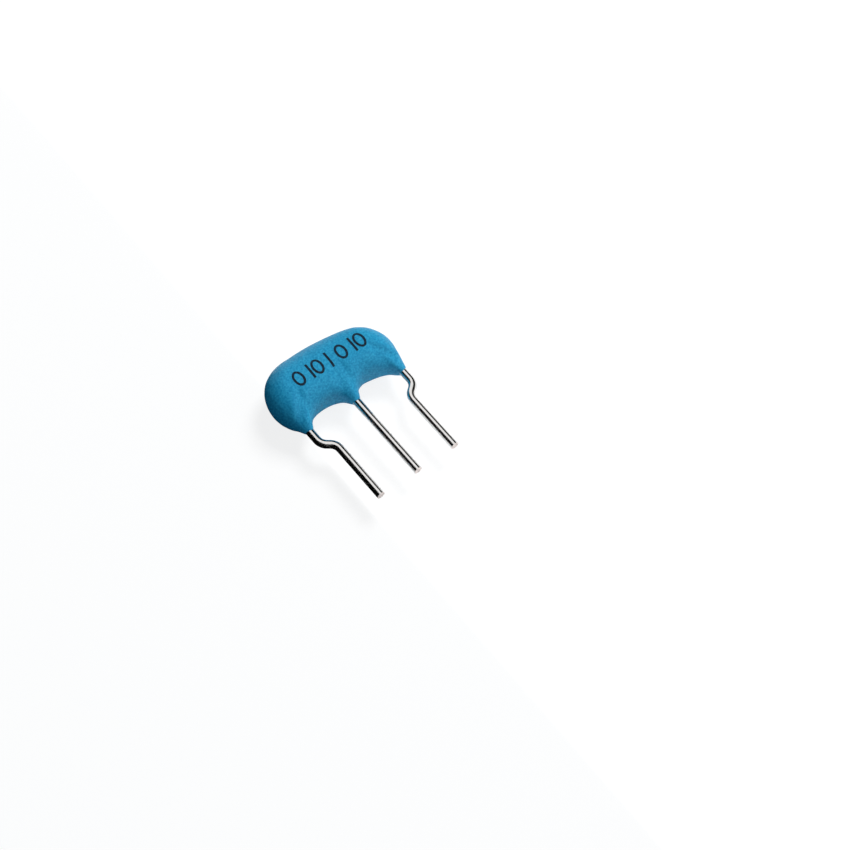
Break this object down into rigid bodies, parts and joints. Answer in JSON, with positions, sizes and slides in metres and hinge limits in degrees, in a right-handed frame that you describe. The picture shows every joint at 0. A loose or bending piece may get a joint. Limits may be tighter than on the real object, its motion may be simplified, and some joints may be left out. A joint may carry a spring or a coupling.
{
  "type": "ceramic resonator",
  "caption": "Ceramic resonator with built-in load capacitors: a blue epoxy-dipped body on a row of tinned leads, the outer ones kinked.",
  "frame": {"origin": "on the flat back of the coating, in line with the middle lead and half way up the body", "axes": "+Z out of the front face, through the thickness; +X along the row of leads; the leads leave the body toward -Y"},
  "size_m": [0.008, 0.0098, 0.0029],
  "materials": {
    "epoxy": "satin dipped epoxy",
    "tinned_wire": "hot-tinned",
    "resonator_ceramic": "lapped",
    "capacitor_ceramic": "fired",
    "silver_film": "fired silver",
    "conductive_adhesive": "cured",
    "solder": "reflowed"
  },
  "bodies": {
    "root": {"coating": "epoxy", "capacitor_plate": "capacitor_ceramic", "resonator_plate": "resonator_ceramic", "ground_electrode": "silver_film", "input_electrode": "silver_film", "output_electrode": "silver_film", "resonator_back_electrode": "silver_film", "resonator_front_electrode": "silver_film", "input_bond": "conductive_adhesive", "output_bond": "conductive_adhesive", "input_lead": "tinned_wire", "ground_lead": "tinned_wire", "output_lead": "tinned_wire", "input_solder": "solder", "ground_solder": "solder", "output_solder": "solder"}
  },
  "joints": []
}
